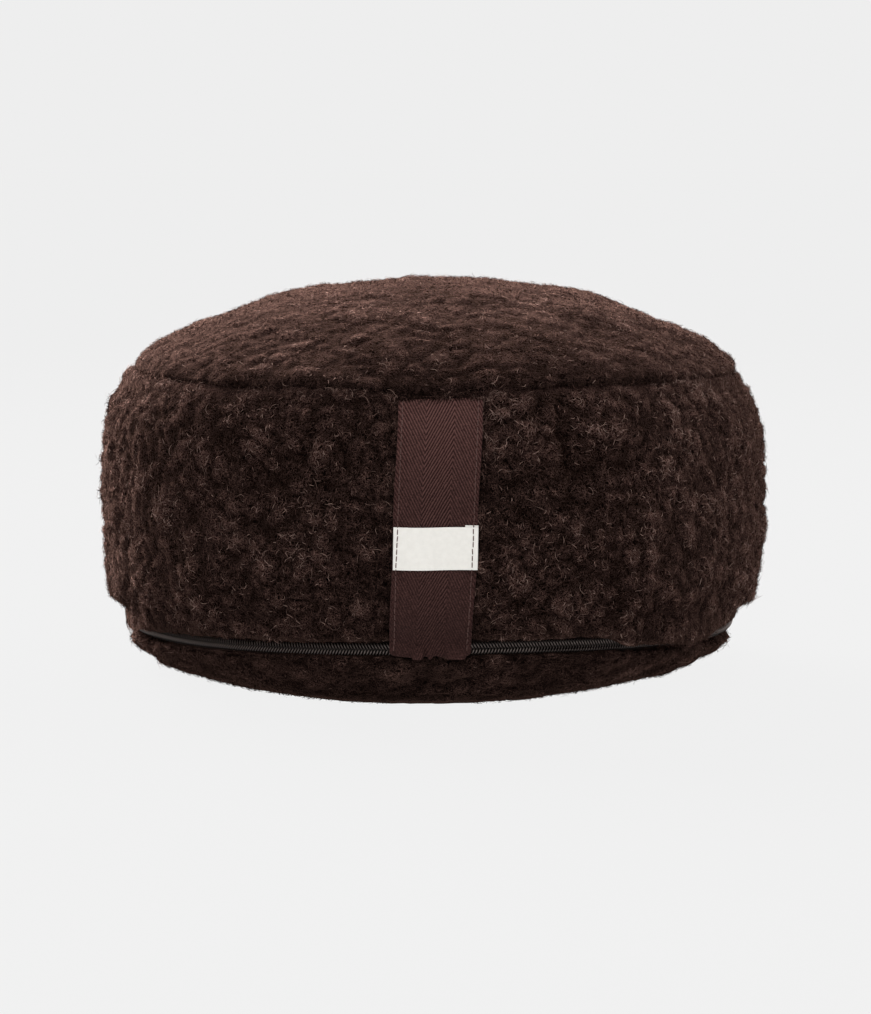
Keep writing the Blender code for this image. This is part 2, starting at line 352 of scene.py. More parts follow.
def add_piece(name, points, faces, material, node=None):
    """A piece that rides with the cushion, and stands for a CAD node where one is named."""
    mesh = bpy.data.meshes.new(name)
    mesh.from_pydata(points.tolist(), [], faces.tolist())
    mesh.materials.append(material)
    mesh.shade_smooth()
    piece = add_object(name, mesh)
    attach(piece, "root")
    if node:
        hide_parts(node)
    return piece


def lay_map(piece, across, along, names=("OFBake",)):
    """Flat maps of the piece, from two values for each corner of each face."""
    flat = np.stack([across.ravel(), along.ravel()], axis=-1).astype(np.float32).ravel()
    for map_name in names:
        piece.data.uv_layers.new(name=map_name).data.foreach_set("uv", flat)


def disc_squares(cells):
    """A grid of squares pressed into a round disc of radius 1: its points, faces and flat map."""
    steps = np.linspace(-1, 1, cells + 1)
    u, v = (side.ravel() for side in np.meshgrid(steps, steps))
    points = np.stack([u * np.sqrt(1 - v**2 / 2), v * np.sqrt(1 - u**2 / 2)], axis=-1)
    row, column = (side.ravel() for side in np.meshgrid(np.arange(cells), np.arange(cells)))
    corner = row * (cells + 1) + column
    faces = np.stack([corner, corner + 1, corner + cells + 2, corner + cells + 1], axis=-1)
    return points, faces, ((u + 1) / 2)[faces], ((v + 1) / 2)[faces]


def along_profile(share, profile, weights=1.0):
    """Radius, height and facing at these shares of the way along a profile's length, from its middle."""
    steps = np.linalg.norm(np.diff(profile[:, :2], axis=0), axis=1) * weights
    length = np.concatenate([[0], np.cumsum(steps)]) / steps.sum()
    return (np.interp(share, length, column) for column in profile.T)


def round_panel(cells, profile, middle, lift, weights=1.0):
    """The points of a round panel on the cushion's shape, with how far each is from the panel's seam."""
    disc, faces, across, along = disc_squares(cells)
    share = np.minimum(np.linalg.norm(disc, axis=1), 1)
    outward = unit(np.hstack([disc, np.zeros((len(disc), 1))]))
    radius, height, facing = along_profile(share, profile, weights)
    facing = outward * np.cos(facing)[:, None] + UP * np.sin(facing)[:, None]
    angle = np.arctan2(disc[:, 0], -disc[:, 1])
    guide = outward * radius[:, None] + UP * lift(angle, height)[:, None] + np.array([*middle, 0])
    points = cast(cushion_shape, guide + facing * REACH, -facing)
    length = np.linalg.norm(np.diff(profile[:, :2], axis=0), axis=1).sum()
    return points, faces, across, along, (1 - share) * length


def tufts(points, size):
    """0 in the narrow gaps between tufts, and up to 1 on the tufts."""
    from_gap = []
    for point in points:
        place = Vector(point) / size
        place += TUFT_WARP * noise.noise_vector(place * 0.8)
        near_tufts, _ = noise.voronoi(place)
        from_gap.append(near_tufts[1] - near_tufts[0])
    return 1 - np.exp(-TUFT_EDGE * np.array(from_gap))


def swells(points, size):
    """Soft unevenness of this size, from about -1 to 1."""
    return np.array([noise.noise(Vector(point) / size) for point in points])


def set_fullness(mesh, full):
    mesh.attributes["fullness"].data.foreach_set("value", full.astype(np.float32))


def lay_pile(panel, off_seam, tuft_size, tuft_height, swell_size, swell_height, depth_share=1.0):
    """Moves a panel from the outside of the pile in to its cloth, and raises the cloth into tufts.

    Returns how full the pile is at each point. The mesh keeps it for its material too, which darkens the
    gaps between tufts with it as painted shade.
    """
    mesh = panel.data
    points, normals = points_of(mesh), points_of(mesh, "normal")
    free = smooth_step(0, SEAM_SQUEEZE, off_seam)
    depth = (SEAM_DEPTH + (tuft_height - TUFT_PROUD - SEAM_DEPTH) * free) * depth_share
    inner = points - normals * depth[:, None]
    inner += swelled(inner) * free[:, None]
    clefts = 1 - np.exp(-CLEFT_EDGE * np.abs(swells(points, tuft_size * CLEFT_SPACING)))
    large, small = tufts(points, tuft_size), tufts(points, tuft_size * SMALL_TUFTS)
    raised = tuft_height * (LARGE_HEIGHT * large + (1 - LARGE_HEIGHT) * small)
    raised = raised * (CLEFT_HEIGHT + (1 - CLEFT_HEIGHT) * clefts)
    raised = raised + swells(points, swell_size) * swell_height
    raised = raised * (SEAM_HEIGHT + (1 - SEAM_HEIGHT) * free)
    full = LARGE_FULLNESS * large + (1 - LARGE_FULLNESS) * small
    full = full * (CLEFT_FULLNESS + (1 - CLEFT_FULLNESS) * clefts)
    set_points(mesh, inner + normals * raised[:, None])
    mesh.attributes.new("fullness", "FLOAT", "POINT")
    set_fullness(mesh, full)
    return full


def turned(vectors, axes, angles):
    """Each vector turned about its axis by its angle."""
    cos, sin = np.cos(angles)[:, None], np.sin(angles)[:, None]
    along = np.sum(vectors * axes, axis=1, keepdims=True)
    return vectors * cos + np.cross(axes, vectors) * sin + axes * along * (1 - cos)


# Each kind of fibre: straight runs, length, width, how far it can stand off the cloth, and its curl.
UNDERCOAT = (2, (2.4 * MM, 4.6 * MM), (0.26 * MM, 0.42 * MM), (0.5 * MM, 1.5 * MM), (40, 160))
CURLS = (4, (4.0 * MM, 8.0 * MM), (0.20 * MM, 0.30 * MM), (0.8 * MM, 2.1 * MM), (90, 300))
RISING = (15, 60)  # degrees that a fibre leaves the cloth at
ROOT_DEPTH = 0.3 * MM
TWISTING = 1.5  # how much a fibre's curl turns out of its plane
FLAT_TWIST = 0.45
TIP_TAPER = 0.7  # how much narrower its tip is
FIBRE_TONE = 0.36  # from 0, black brown, to 1, tan
TONE_SPREAD = 0.29
GAP_SHADE_TONE = 0.9  # painted shade: how much darker a fibre is in a gap than on a full tuft
TUFT_MIDDLE = 0.45
CURL_TONE_LIFT = 0.05
TONE_DRIFT = 0.3  # how much tones change over the panel
DRIFT_SIZE = 24 * MM
LIGHT_FIBRES = 0.11  # share of the fibres that are lighter than the rest
LIGHT_TONES = (0.15, 0.4)  # and how much lighter they are
FIBRE_MAP_MARGIN = 0.02
FIBRE_MAP_WIDTH = 0.024


def curl_pile(name, panel, full, lean, kind, count, seed, keep=None, share=None, tone_lift=0.0):
    """Curled fibres rooted all over a panel. Each rises from the cloth, arches over and turns aside."""
    steps, lengths, widths, rises, curls = kind
    draw = np.random.default_rng(seed)
    mesh = panel.data
    points, normals = points_of(mesh), points_of(mesh, "normal")
    squares = np.empty(len(mesh.polygons) * 4, np.int32)
    mesh.polygons.foreach_get("vertices", squares)
    squares = squares.reshape(-1, 4)
    a, b, c, d = (points[squares[:, corner]] for corner in range(4))
    chance = np.linalg.norm(np.cross(c - a, d - b), axis=1) * (0.1 + full[squares].mean(axis=1))
    if share is not None:
        chance = chance * share[squares].mean(axis=1)
    chosen = squares[draw.choice(len(squares), count, p=chance / chance.sum())]
    s, t = draw.random((2, count, 1))
    shares = np.stack([(1 - s) * (1 - t), s * (1 - t), s * t, (1 - s) * t], axis=1)
    root = (points[chosen] * shares).sum(axis=1)
    out = unit((normals[chosen] * shares).sum(axis=1))
    fullness = (full[chosen] * shares[..., 0]).sum(axis=1)
    side = draw.normal(size=(count, 3)) + (lean[chosen] * shares).sum(axis=1)
    side = unit(side - out * np.sum(side * out, axis=1, keepdims=True))
    rising = np.radians(draw.uniform(*RISING, count))[:, None]
    heading = side * np.cos(rising) + out * np.sin(rising)
    bend = unit(np.cross(out, side) + out * draw.normal(0, TWISTING, (count, 1)))
    length = draw.uniform(*lengths, count)[:, None]
    rise_limit = draw.uniform(*rises, count)[:, None]
    curl = np.radians(draw.uniform(*curls, count)) / steps
    half_width = draw.uniform(*widths, count)[:, None] / 2
    place = root - out * ROOT_DEPTH
    lefts, rights = [], []
    for step in range(steps + 1):
        taper = 1 - TIP_TAPER * (step / steps) ** 2
        flat = unit(np.cross(heading, out) + FLAT_TWIST * draw.normal(size=(count, 3))) * half_width * taper
        rise = np.maximum(0, np.sum((place - root) * out, axis=1, keepdims=True))
        pressed = place - out * (rise - rise_limit * (1 - np.exp(-rise / rise_limit)))
        lefts.append(pressed - flat)
        rights.append(pressed + flat)
        place = place + heading * length / steps
        heading = unit(turned(heading, bend, curl))
    spine = np.stack([*lefts, *rights], axis=1)
    drift = TONE_DRIFT * swells(root, DRIFT_SIZE)
    # Painted shade: a fibre rooted in a gap between tufts is darker.
    painted_gap_shade = GAP_SHADE_TONE * (fullness - TUFT_MIDDLE)
    tone = FIBRE_TONE + tone_lift + drift + painted_gap_shade + draw.normal(0, TONE_SPREAD, count)
    light = draw.random(count) < LIGHT_FIBRES
    tone[light] += draw.uniform(*LIGHT_TONES, light.sum())
    tone = np.clip(tone, 0, 1)
    if keep is not None:
        kept = keep(spine).all(axis=1)
        spine, tone = spine[kept], tone[kept]
    total = len(spine)
    run = np.arange(steps)
    other_edge = steps + 1
    strip = np.stack([run, run + other_edge, run + other_edge + 1, run + 1], axis=-1)
    faces = (strip[None] + (np.arange(total) * 2 * other_edge)[:, None, None]).reshape(-1, 4)
    piece = add_piece(name, spine.reshape(-1, 3), faces, pile_fibre)
    edges = FIBRE_MAP_WIDTH * np.array([-0.5, 0.5, 0.5, -0.5])
    middle = FIBRE_MAP_MARGIN + (1 - 2 * FIBRE_MAP_MARGIN) * tone[:, None, None]
    across = middle + edges + np.zeros((1, steps, 1))
    along = np.stack([run, run, run + 1, run + 1], axis=-1)[None] / steps + np.zeros((total, 1, 1))
    lay_map(piece, np.clip(across, 0, 1), along, ("fibre", "OFBake"))


def coloured(tree, value, steps):
    """The colour that a ramp of these places and colours gives for a value."""
    node = tree.nodes.new("ShaderNodeValToRGB")
    ramp = node.color_ramp
    while len(ramp.elements) < len(steps):
        ramp.elements.new(0.5)
    for element, (place, colour) in zip(ramp.elements, steps):
        element.position = place
        element.color = (*colour, 1)
    tree.links.new(value, node.inputs["Fac"])
    return node.outputs["Color"]


def darkened(tree, colour, value, shares):
    """A colour multiplied by a share, from a ramp of places and shares."""
    node = tree.nodes.new("ShaderNodeMix")
    node.data_type = "RGBA"
    node.blend_type = "MULTIPLY"
    node.inputs["Factor"].default_value = 1.0
    tree.links.new(colour, node.inputs["A"])
    greys = coloured(tree, value, [(place, (share, share, share)) for place, share in shares])
    tree.links.new(greys, node.inputs["B"])
    return node.outputs["Result"]


def fine_noise(tree, settings):
    """Noise over the cloth with these settings, from 0 to 1."""
    place = tree.nodes.new("ShaderNodeTexCoord")
    node = tree.nodes.new("ShaderNodeTexNoise")
    set_inputs(node, settings)
    tree.links.new(place.outputs["Object"], node.inputs["Vector"])
    return node.outputs["Fac"]


def map_parts(tree, map_name):
    """The two values of one of a piece's flat maps."""
    flat_map = tree.nodes.new("ShaderNodeUVMap")
    flat_map.uv_map = map_name
    parts = tree.nodes.new("ShaderNodeSeparateXYZ")
    tree.links.new(flat_map.outputs["UV"], parts.inputs["Vector"])
    return parts.outputs["X"], parts.outputs["Y"]


def finish_cloth(tree, shader, colour, roughness, gloss, sheen=None, bumps=None):
    """Gives a shader its colour, roughness and gloss, and its sheen and bumps where it has them."""
    tree.links.new(colour, shader.inputs["Base Color"])
    set_inputs(shader, {"Roughness": roughness, "Specular IOR Level": gloss})
    if sheen:
        set_inputs(shader, dict(zip(("Sheen Weight", "Sheen Roughness", "Sheen Tint"), sheen)))
    if bumps:
        height, strength, depth = bumps
        bump = tree.nodes.new("ShaderNodeBump")
        set_inputs(bump, {"Strength": strength, "Distance": depth})
        tree.links.new(height, bump.inputs["Height"])
        tree.links.new(bump.outputs["Normal"], shader.inputs["Normal"])


# The cloth that the pile grows from: short brown frizz, with painted shade that makes it nearly black in
# the gaps between tufts. The frizz's thin light hairs lie along the middle value of the noise.
BROWN_SHEEN = (0.80, 0.45, 0.355, 1)
BLACK_BROWN = (0.0040, 0.0021, 0.0017)
DARK_BROWN = (0.024, 0.0130, 0.0106)
HAIR_BROWN = (0.190, 0.1070, 0.0880)
GROUND_STEPS = (
    (0.36, BLACK_BROWN),
    (0.45, DARK_BROWN),
    (0.5, HAIR_BROWN),
    (0.55, DARK_BROWN),
    (0.64, BLACK_BROWN),
)
pile_ground, tree, shader = new_finish("pile_ground")
frizz = fine_noise(tree, {"Scale": 650, "Detail": 2, "Roughness": 0.6, "Distortion": 1.5})
fullness = tree.nodes.new("ShaderNodeAttribute")
fullness.attribute_name = "fullness"
brown = coloured(tree, frizz, GROUND_STEPS)
# Painted shade: the less full the pile, the darker the cloth, for the shade in the gaps between tufts.
brown = darkened(tree, brown, fullness.outputs["Fac"], ((0.0, 0.04), (0.4, 0.4), (0.8, 1.0)))
finish_cloth(tree, shader, brown, 1.0, 0.0, (0.10, 0.4, BROWN_SHEEN), (frizz, 0.7, 1.2 * MM))

# The curled fibres, each with its own tone from black brown to tan, and with painted shade that darkens
# each towards its root.
FIBRE_STEPS = (
    (0.0, (0.0040, 0.0020, 0.0016)),
    (0.4, (0.032, 0.0172, 0.0140)),
    (0.7, (0.082, 0.0466, 0.0388)),
    (1.0, (0.28, 0.185, 0.155)),
)
pile_fibre, tree, shader = new_finish("pile_fibre")
fibre_tone, along_fibre = map_parts(tree, "fibre")
brown = coloured(tree, fibre_tone, FIBRE_STEPS)
# Painted shade: darker towards the root, where the pile shades the fibre.
brown = darkened(tree, brown, along_fibre, ((0.0, 0.25), (0.5, 0.85), (1.0, 1.0)))
finish_cloth(tree, shader, brown, 1.0, 0.0, (0.25, 0.35, BROWN_SHEEN))


def with_facing(profile, side):
    """A profile's radius and height, with how far up, or down for side -1, it faces at each place."""
    slope = np.gradient(profile, axis=0)
    facing = side * np.arctan2(slope[:, 0], -side * slope[:, 1])
    facing[-1] = 0
    return np.column_stack([profile, facing])


turn = np.linspace(0, math.pi / 2, 90)
dome = np.stack([TOP_RADIUS * np.sin(turn), TOP_LIP + TOP_RISE * np.cos(turn) ** TOP_SLOPE], axis=-1)
tuck = np.array([[TOP_RADIUS - 1.5 * MM, TOP_LIP - 1.0 * MM, 0], [TOP_RADIUS - 4.5 * MM, 0.6 * MM, 0]])
profile = np.vstack([with_facing(dome, 1), tuck])
points, faces, across, along, off_seam = round_panel(
    TOP_CELLS, profile, TOP_MIDDLE, lambda angle, height: top_seam(angle) + height
)
top_panel = add_piece("top_panel", points, faces, pile_ground, "cushion")
lay_map(top_panel, across, along)
least, rest = TOP_FULLNESS
full = least + rest * lay_pile(top_panel, off_seam, *TOP_PILE)
set_fullness(top_panel.data, full)
closed = 1 - open_seam(np.arctan2(points[:, 0], -points[:, 1]))
filled = SEAM_FILL * closed * near(off_seam, FILL_REACH)
outward = unit(points * [1, 1, 0])
near_seam = near(off_seam, DROOP_REACH)[:, None]
drooping = points_of(top_panel.data) - UP * TOP_DROOP * near_seam
set_points(top_panel.data, drooping + filled[:, None] * outward)
fringe = near(off_seam, FRINGE_REACH) * closed
lean = -TOP_LEAN * UP * near_seam
share = 1 + FRINGE_UNDERCOAT * fringe
curl_pile("top_undercoat", top_panel, full, lean, UNDERCOAT, TOP_UNDERCOAT, 11, share=share)
share = 1 + FRINGE_CURLS * fringe
curl_pile("top_curls", top_panel, full, 2 * lean, CURLS, TOP_CURLS, 12, None, share, CURL_TONE_LIFT)

# ---- Side band ---------------------------------------------------------------------------------
# A long strip of the same cloth round the cushion's side, with fuller tufts. It bulges between its
# seams and is pressed in along the strap.
BAND_COLUMNS = 720
BAND_ROWS = 86
BAND_PIECES = 2
BAND_PILE = (10.5 * MM, 4.2 * MM, 26 * MM, 2.2 * MM)  # its tufts' size and height, and its swells'
BAND_UNDERCOAT = 34000  # fibres in each of its pieces
BAND_CURLS = 17500
BRIDGE_CURLS = 5  # how many times as close they stand where the pile fills the top seam
BAND_LEAN = (2.0, 2.5)  # how strongly its fibres lean to the top seam, and to the zip
ROW_CROWDING = 0.08  # how much closer its rows lie along the seams
TOP_EDGE_DROP = 1.3 * MM  # from the top seam's middle line to its edge
BACK_CLOSING = 0.8  # share of ZIP_HALF by which it closes up behind the cushion
PRESSED_DEPTH = 1.0 * MM  # how deep the strap presses it
PRESSED_EDGE = (-2.5 * MM, 0.5 * MM)  # where it rises again, out from the strap's edge
BAND_LIFT = 1.7 * MM  # how far its top edge is pushed up under the top panel
LIFT_REACH = 6 * MM
BAND_FILL_REACH = 4 * MM
OVERHANG = 7.5 * MM  # the most that its pile falls over the zip
# What share of that it falls, all along the zip, and what is added from one angle to another.
OVERHANG_SHARE = 0.1
OVERHANG_STEPS = ((-4, -32, 0.12), (-40, -66, 0.3), (-66, -74, 0.5), (31, 38, 0.63), (56, 63, -0.33))
OVERHANG_TUFT = (52, 6, 0.25)  # the angle, width and share of a tuft that falls further
OVERHANG_REACH = 9 * MM  # how far above the zip the pile begins to fall
OVERHANG_OUT = 0.3  # how far it comes out, as a share of its fall
FRONT_DEGREES = (66, 84)  # at the front it comes out, and past these angles it doesn't
STRAP_WIDTH = 38 * MM
STRAP_TOP_X = 4.1 * MM
STRAP_FOOT_X = -1.2 * MM
ZIP_REACH = math.radians(104)
ZIP_HALF = 4.15 * MM  # from the zip's middle line to the cloth on each side
ZIP_CLEAR = 2.7 * MM  # from that line to the nearest fibres
DRAWN_STEPS = ((58, 74, 0.75), (112, 130, -0.75))  # at which angles its foot draws in over the zip's ends
SIDE_FOOT = 149.4 * MM  # how far out the foot comes there
SIDE_BULGE = 16 * MM  # and how much further out the band may be above it
BULGE_HEIGHTS = (32 * MM, 40 * MM)

strap_low, strap_high = (corner.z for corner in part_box("strap"))


def strap_middle(height):
    """The strap leans a little, so its middle moves over with its height."""
    share = (height - ZIP_SEAM_HEIGHT) / (TOP_SEAM_HEIGHT - ZIP_SEAM_HEIGHT)
    return STRAP_FOOT_X + (STRAP_TOP_X - STRAP_FOOT_X) * np.clip(share, 0, 1)


def past_zip(angle):
    """1 behind the cushion, where the zip's seam is closed, and 0 along the zip."""
    return smooth_step(ZIP_REACH, ZIP_REACH + math.radians(6), np.abs(angle))


def overhang(angle):
    """How far the band's pile falls over the zip: most near its left end, and right of the strap."""
    place, width, amount = OVERHANG_TUFT
    tuft = amount * np.exp(-(((np.degrees(angle) - place) / width) ** 2))
    return OVERHANG * (OVERHANG_SHARE + stepped(angle, OVERHANG_STEPS) + tuft) * (1 - past_zip(angle))


def clear_of_trim(points):
    """Which points keep clear of the strap and of the zip."""
    x, y, z = points[..., 0], points[..., 1], points[..., 2]
    on_strap = (np.abs(x - strap_middle(z)) < STRAP_WIDTH / 2 - 0.5 * MM) & (y < 0) & (z < strap_high - MM)
    angle = np.arctan2(x, -y)
    above = z - zip_seam(angle)
    on_zip = (above > -ZIP_CLEAR) & (above < ZIP_CLEAR + MM - overhang(angle)) & (np.abs(angle) < ZIP_REACH)
    return ~(on_strap | on_zip)


columns = np.arange(BAND_COLUMNS)
angles = 2 * math.pi * columns / BAND_COLUMNS
angles = (angles + math.pi) % (2 * math.pi) - math.pi
share = np.linspace(0, 1, BAND_ROWS + 1)[:, None]
share = share - ROW_CROWDING * np.sin(2 * math.pi * share) / math.pi
low = zip_seam(angles) + ZIP_HALF * (1 - BACK_CLOSING * past_zip(angles))
high = top_seam(angles) - TOP_EDGE_DROP
heights = high + (low - high) * share
outward = np.stack([np.sin(angles), -np.cos(angles), np.zeros(BAND_COLUMNS)], axis=-1)
starts = 0.2 * outward + heights[..., None] * UP
points = cast(cushion_shape, starts.reshape(-1, 3), np.broadcast_to(-outward, starts.shape).reshape(-1, 3))
row, column = (side.ravel() for side in np.meshgrid(np.arange(BAND_ROWS), columns, indexing="ij"))
following = (column + 1) % BAND_COLUMNS
corners = ((row, column), (row + 1, column), (row + 1, following), (row, following))
faces = np.stack([r * BAND_COLUMNS + c for r, c in corners], axis=-1)
side_band = add_piece("side_band", points, faces, pile_ground)
across = np.stack([column, column, column + 1, column + 1], axis=-1) / BAND_COLUMNS
along = 1 - np.stack([row, row + 1, row + 1, row], axis=-1) / BAND_ROWS
lay_map(side_band, across, along)
off_top, off_zip = (high - heights).ravel(), (heights - low).ravel()
full = lay_pile(side_band, np.minimum(off_top, off_zip), *BAND_PILE)
near_top = near(off_top, LIFT_REACH)[:, None]
near_zip = near(off_zip, OVERHANG_REACH)[:, None]
outward = np.tile(outward, (BAND_ROWS + 1, 1))
angle = np.tile(angles, BAND_ROWS + 1)
closed = 1 - open_seam(angle)
fall = overhang(angle)[:, None] * near_zip
filled = (SEAM_FILL * closed * near(off_top, BAND_FILL_REACH))[:, None]
at_front = 1 - smooth_step(*FRONT_DEGREES, np.degrees(np.abs(angle)))[:, None]
laid = points_of(side_band.data) + UP * (BAND_LIFT * near_top - fall)
laid += (OVERHANG_OUT * fall * at_front + filled) * outward
# At the cushion's sides the band's foot draws in over the ends of the zip.
far_out = np.hypot(laid[:, 0], laid[:, 1])
most = SIDE_FOOT + SIDE_BULGE * smooth_step(*BULGE_HEIGHTS, laid[:, 2])
drawn_in = stepped(np.abs(angle), DRAWN_STEPS) * np.maximum(0, far_out - most)
laid -= drawn_in[:, None] * outward
# Behind the strap the pile is pressed flat.
off_strap = np.abs(points[:, 0] - strap_middle(points[:, 2])) + 0.1 * (points[:, 1] > 0)
pressed = 1 - smooth_step(*PRESSED_EDGE, off_strap - STRAP_WIDTH / 2)[:, None]
laid += (points - PRESSED_DEPTH * outward - laid) * pressed
set_points(side_band.data, laid)
# Where the strap presses the pile its fullness is 0, so its painted gap shade is darkest there.
set_fullness(side_band.data, full * (1 - pressed[:, 0]))
lean = UP * (BAND_LEAN[0] * near_top - BAND_LEAN[1] * near_zip)
for part in range(BAND_PIECES):
    part_name = f"side_undercoat_{part + 1}"
    curl_pile(part_name, side_band, full, lean, UNDERCOAT, BAND_UNDERCOAT, 21 + part, clear_of_trim)
share = 1 + BRIDGE_CURLS * near_top[:, 0] * closed
curl_pile("side_curls", side_band, full, lean, CURLS, BAND_CURLS, 25, clear_of_trim, share, CURL_TONE_LIFT)

# ---- Bottom panel ------------------------------------------------------------------------------
# A round panel of the same cloth, gathered on to the zip's lower tape. The cushion rests on it, which
# flattens its pile underneath.
BOTTOM_CELLS = 120
BOTTOM_MIDDLE = (-1.8 * MM, 0)
RIM_RADIUS = 149.8 * MM
RIM_HEIGHT = 14.9 * MM
BOTTOM_PILE = (11 * MM, 3.8 * MM, 18 * MM, 2.0 * MM)  # its tufts' size and height, and its swells'
BOTTOM_UNDERCOAT = 14500  # how many fibres
BOTTOM_CURLS = 4000
# Painted shade: the bottom panel's fibres are darker, for the shade under the band and by the floor.
BOTTOM_SHADE_TONE = -0.2
BOTTOM_LEAN = 1.5
BOTTOM_SQUEEZE = 8 * MM  # how far from its seam the edge is pushed
UNDERSIDE_SHARE = 0.45  # the hidden underside has larger squares
BOTTOM_LIFT = 1.0 * MM  # how far its edge is pushed up against the zip
LEFT_LIFT_STEPS = ((-4, -34, 0.9 * MM),)  # and how much further left of the strap
BOTTOM_SPREAD = 1.2 * MM  # and out past it
BACK_LIFT = 3.4 * MM  # how far its edge comes up to the band, where there is no zip
FOOT_RADIUS = 116 * MM
FOOT_ROUNDNESS = 1.45
FOOT_NARROWING = 0.035  # how much narrower the foot is than it is deep
FOOT_CLEARANCE = 1.8 * MM  # how far the foot's sides stand off the floor
FOOT_SHIFT = np.array([-2.0, -4.0, 0]) * MM  # how far the foot lies off the cushion's middle
FOOT_REACH = (1 * MM, 10 * MM)  # heights between which the foot passes into the side
FOOT_SIDES = (8, 55)  # degrees from the strap between which the foot comes off the floor
PILE_HEIGHT = 12 * MM  # height above which the pile isn't pressed by the floor
LEAST_HEIGHT = 0.4 * MM
UNDERSIDE_FIBRES = 0.04  # how close they stand underneath, as a share

turn = np.linspace(math.pi / 2, 0, 40)
foot_radius = FOOT_RADIUS + (RIM_RADIUS - FOOT_RADIUS) * np.cos(turn) ** (2 / FOOT_ROUNDNESS)
foot_height = RIM_HEIGHT * (1 - np.sin(turn) ** (2 / FOOT_ROUNDNESS))
side = with_facing(np.stack([foot_radius, foot_height], axis=-1), -1)
tuck = np.array([[RIM_RADIUS - 1.2 * MM, 16.6 * MM, 0], [RIM_RADIUS - 4.2 * MM, 17.1 * MM, 0]])
profile = np.vstack([[0, 0, -math.pi / 2], side, tuck])
weights = np.ones(len(profile) - 1)
weights[0] = UNDERSIDE_SHARE


def bottom_lift(angle, height):
    """The bottom panel's heights follow the zip, and close up to the band behind the cushion."""
    closing = BACK_LIFT * past_zip(angle) * (height > 16 * MM)
    return height + zip_rise(angle) * smooth_step(0, 14 * MM, height) + closing


points, faces, across, along, off_seam = round_panel(
    BOTTOM_CELLS, profile, BOTTOM_MIDDLE, bottom_lift, weights
)
bottom_panel = add_piece("bottom_panel", points, faces[:, ::-1], pile_ground)
lay_map(bottom_panel, across[:, ::-1], along[:, ::-1])
off_floor = smooth_step(0, PILE_HEIGHT, points[:, 2])
full = lay_pile(bottom_panel, off_seam, *BOTTOM_PILE, 0.1 + 0.9 * off_floor)
# Painted shade: the pile's fullness is lowered, most near the floor, which darkens its cloth and fibres for
# the shade under the band and by the floor, and thins its fibres there too.
full *= 0.3 + 0.5 * off_floor
set_fullness(bottom_panel.data, full)
near_seam = near(off_seam, BOTTOM_SQUEEZE)[:, None]
outward = unit(points * [1, 1, 0])
angle = np.arctan2(points[:, 0], -points[:, 1])
lift = BOTTOM_LIFT + stepped(angle, LEFT_LIFT_STEPS)[:, None]
inner = points_of(bottom_panel.data) + (lift * UP + BOTTOM_SPREAD * outward) * near_seam
inner += (points - inner) * (1 - off_floor)[:, None] * 0.8
near_floor = 1 - smooth_step(*FOOT_REACH, points[:, 2:])
inner += near_floor * (FOOT_SHIFT - inner * [FOOT_NARROWING, 0, 0])
from_middle = np.hypot(points[:, 0], points[:, 1])
at_side = smooth_step(*FOOT_SIDES, np.degrees(np.abs(angle)))
at_rim = smooth_step(FOOT_RADIUS - 20 * MM, FOOT_RADIUS, from_middle)
inner[:, 2] += FOOT_CLEARANCE * at_side * at_rim * near_floor[:, 0]
inner[:, 2] = np.maximum(inner[:, 2], LEAST_HEIGHT)
set_points(bottom_panel.data, inner)


def above_floor(points):
    return clear_of_trim(points) & (points[..., 2] > 0.1 * MM)


# The underside, which lies on the floor, has few loose fibres.
at_rim = smooth_step(FOOT_RADIUS - 14 * MM, FOOT_RADIUS, from_middle)
mostly_side = UNDERSIDE_FIBRES + (1 - UNDERSIDE_FIBRES) * at_rim
lean = BOTTOM_LEAN * UP * near_seam
rest = (above_floor, mostly_side, BOTTOM_SHADE_TONE)
curl_pile("bottom_undercoat", bottom_panel, full, lean, UNDERCOAT, BOTTOM_UNDERCOAT, 31, *rest)
curl_pile("bottom_curls", bottom_panel, full, lean, CURLS, BOTTOM_CURLS, 32, *rest)

# ---- Strap -------------------------------------------------------------------------------------
# Brown herringbone tape 38 mm wide, sewn down the side band. Its top end goes into the top seam, and
# its lower end is turned under below the zip.
STRAP_COLUMNS = 44
STRAP_ROWS = 100
STRAP_LENGTH = 136 * MM
STRAP_PUCKER = 0.35 * MM
STRAP_TUCK = 0.5 * MM  # how far its top end goes up behind the top panel
STRAP_BEND = 3.0 * MM  # how far below the seam it begins to slope back into it
STRAP_RIGHT = 0.5 * MM  # how far its face lies right of its middle line
STRAP_GATHER = 0.03  # how much narrower its lower end is
EDGE_IN = np.array([0.0, -0.08, 0.05, 0.35]) * MM  # the rolled edge's places, in from the strap's width
EDGE_BACK = np.array([1.5, 0.8, 0.25, 0.0]) * MM  # and how far each lies behind its face
RIB_COLUMNS = 3  # of the herringbone
RIB_PITCH = 1.35  # mm between ribs, across the tape
RIB_RISE = 2.9  # mm between ribs, along it
RIB_CONTRAST = 0.3  # at the foot, in the outer columns
RIB_CONTRAST_RISE = 0.9
YARN_CONTRAST = 0.9
STRAP_SHEEN = (0.8, 0.42, 0.38, 1)
STRAP_STEPS = (
    (0.0, (0.016, 0.0070, 0.0063)),
    (0.25, (0.040, 0.0183, 0.0164)),
    (0.5, (0.082, 0.0390, 0.0345)),
)
NICKS = (-2.4 * MM, 2.8 * MM)  # places across the lower end
NICK_WIDTH = 1.1 * MM
NICK_RISE = 0.7 * MM
CORNER_RISE = 1.8 * MM  # how far its lower corners are rounded up
FOOT_RISE = 0.3 * MM
FOOT_RIPPLE = 0.2 * MM
STRAP_WAVER = 0.25 * MM  # how far its middle line and its face wander
TURN_UNDER = 0.985  # share of its length from which it turns under
TURN_DEPTH = 1.3 * MM
